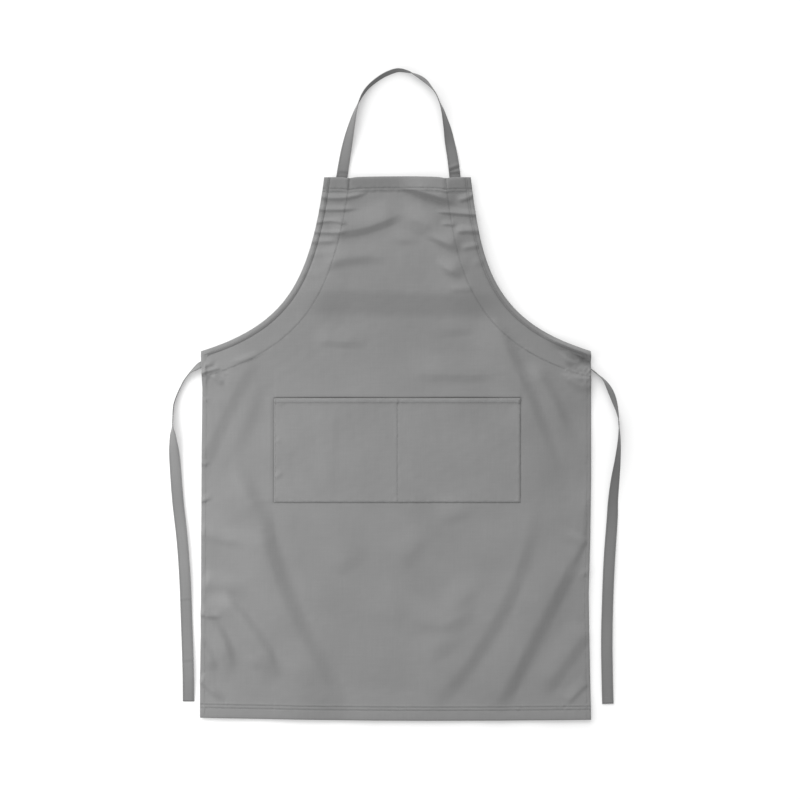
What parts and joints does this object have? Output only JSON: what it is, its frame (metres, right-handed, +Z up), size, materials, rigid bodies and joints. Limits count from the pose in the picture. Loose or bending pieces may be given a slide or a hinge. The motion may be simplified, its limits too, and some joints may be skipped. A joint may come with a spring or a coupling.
{
  "type": "kitchen apron",
  "caption": "Bib apron of plain woven cloth laid flat, with a curved casing behind each armhole, a strap run through both as neck loop and side ties, and a wide patch pocket with a middle seam.",
  "frame": {"origin": "on the floor under the middle of the laid apron's whole length and width, neck loop and ties included", "axes": "+X across the apron to the wearer's left (right in a view from above), +Y from the hem up to the neck loop, +Z up from the floor through the front of the cloth"},
  "size_m": [0.7503, 1.0855, 0.019],
  "materials": {
    "panel_cloth": "matt plain-weave cotton blend, mid grey",
    "casing_cloth": "matt plain-weave cotton blend, mid grey, wrong side out",
    "pocket_cloth": "matt plain-weave cotton blend, mid grey",
    "strap_tape": "matt folded and stitched cloth tape, mid grey"
  },
  "bodies": {
    "root": {"front_panel": "panel_cloth", "casing_left": "casing_cloth", "casing_right": "casing_cloth", "pocket": "pocket_cloth", "strap": "strap_tape"}
  },
  "joints": []
}
